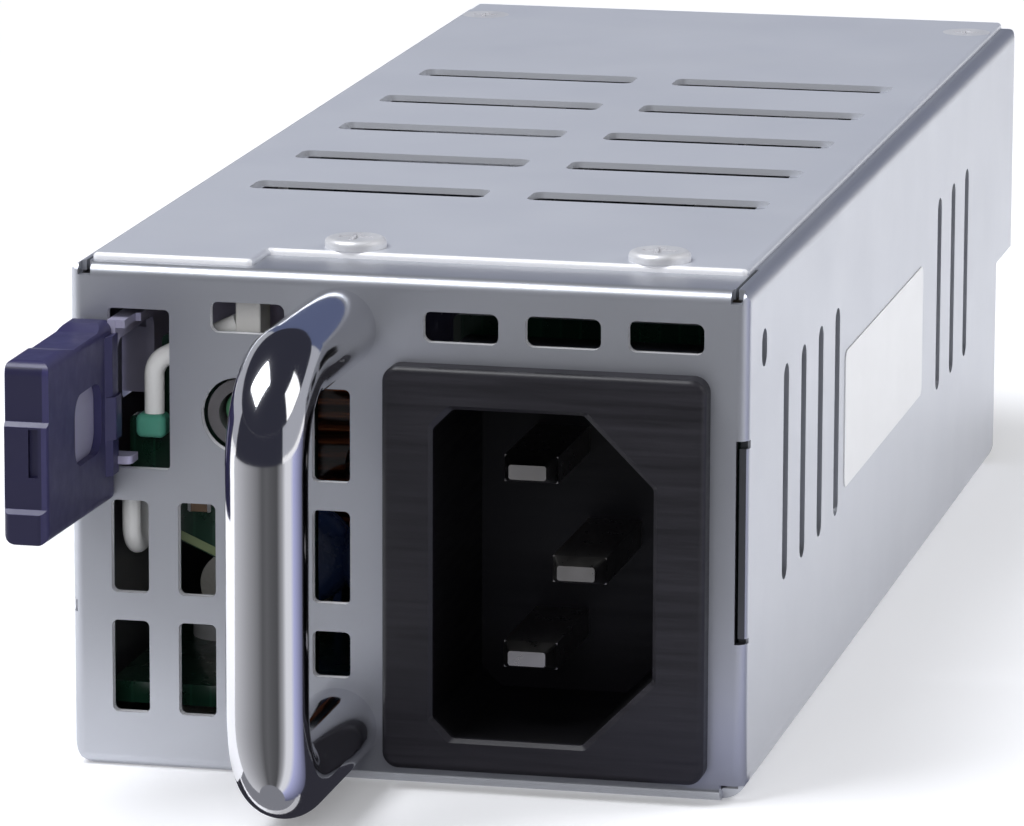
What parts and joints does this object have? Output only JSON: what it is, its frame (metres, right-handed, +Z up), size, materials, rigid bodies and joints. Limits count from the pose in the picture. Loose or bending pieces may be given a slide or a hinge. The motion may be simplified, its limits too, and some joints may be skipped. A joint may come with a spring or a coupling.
{
  "type": "hot swap server power supply",
  "caption": "Slim plug-in power module with a mains inlet, bow handle, sprung release latch, vented sheet-metal case, fan and rear card edge.",
  "frame": {"origin": "centre of the flat underside of the lower body", "axes": "+Z up, +Y from the front panel to the rear card edge, the way the module slides in, +X to the right as seen from the front"},
  "size_m": [0.052, 0.1542, 0.0392],
  "materials": {
    "case_steel": "plated steel sheet, satin",
    "cover_steel": "plated steel sheet, satin",
    "screw_steel": "nickel plated",
    "inlet_plastic": "fine textured moulding",
    "pin_metal": "nickel-plated brass",
    "handle_chrome": "polished chrome plate",
    "latch_plastic": "satin moulding",
    "latch_steel": "spring steel",
    "board_green": "glass epoxy with solder mask",
    "gold_pad": "gold plated",
    "brass": "turned",
    "clear_film": "polyester film",
    "lamp_lens": "tinted, glossy",
    "bezel_plastic": "moulded ring",
    "white_plastic": "nylon",
    "teal_plastic": "nylon",
    "white_lead": "insulated lead",
    "fuse_ceramic": "ceramic body",
    "film_capacitor": "moulded box",
    "disc_blue": "dipped epoxy",
    "ferrite": "sintered ferrite",
    "copper": "enamelled copper wire",
    "rectifier_black": "moulded epoxy",
    "can_sleeve": "shrunk sleeve",
    "winding_tape": "polyester tape",
    "heatsink": "plain",
    "fan_plastic": "glass-filled moulding",
    "fan_blade_plastic": "glass-filled moulding"
  },
  "bodies": {
    "root": {"chassis": "case_steel", "cover": "cover_steel", "cover_screws": "screw_steel", "inlet_housing": "inlet_plastic", "line_pin": "pin_metal", "neutral_pin": "pin_metal", "earth_pin": "pin_metal", "handle": "handle_chrome", "handle_screws": "screw_steel", "latch_bracket": "case_steel", "latch_pin": "screw_steel", "latch_spring": "latch_steel", "main_board": "board_green", "standoffs": "brass", "board_screws": "screw_steel", "insulating_sheet": "clear_film", "output_contacts": "gold_pad", "filter_board": "board_green", "status_board": "board_green", "status_lamp": "lamp_lens", "status_bezel": "bezel_plastic", "status_plug": "teal_plastic", "status_socket": "white_plastic", "status_lead": "white_lead", "mains_fuse": "fuse_ceramic", "line_capacitor": "film_capacitor", "earth_capacitors": "disc_blue", "choke_core": "ferrite", "choke_windings": "copper", "bridge_rectifier": "rectifier_black", "pfc_core": "ferrite", "pfc_winding": "copper", "bulk_capacitors": "can_sleeve", "primary_heatsink": "heatsink", "primary_transistors": "rectifier_black", "transformer_core": "ferrite", "transformer_winding": "winding_tape", "secondary_heatsink": "heatsink", "secondary_transistors": "rectifier_black", "output_capacitors": "can_sleeve", "control_board": "board_green", "control_chips": "rectifier_black", "fan_frame": "fan_plastic", "fan_bearing": "brass", "fan_coil": "copper", "fan_bracket": "case_steel", "fan_screws": "screw_steel", "fan_plug": "white_plastic", "fan_lead": "white_lead"},
    "latch": {"latch_tab": "latch_plastic", "latch_arm": "latch_steel", "latch_tooth": "latch_steel"},
    "fan_wheel": {"fan_rotor": "fan_blade_plastic", "fan_shaft": "pin_metal"}
  },
  "joints": [
    {"name": "latch_swing", "type": "hinge", "parent": "root", "child": "latch", "pos_m": [-0.0219, -0.0155, 0.0286], "axis": [0, 0, 1], "range_deg": [0, 2.6], "stiffness_Nm_per_rad": 1, "springref_deg": -2.86, "deforming": ["latch_spring"]},
    {"name": "fan_spin", "type": "hinge", "parent": "root", "child": "fan_wheel", "pos_m": [0, 0.048, 0.0216], "axis": [0, 1, 0], "continuous": true}
  ]
}
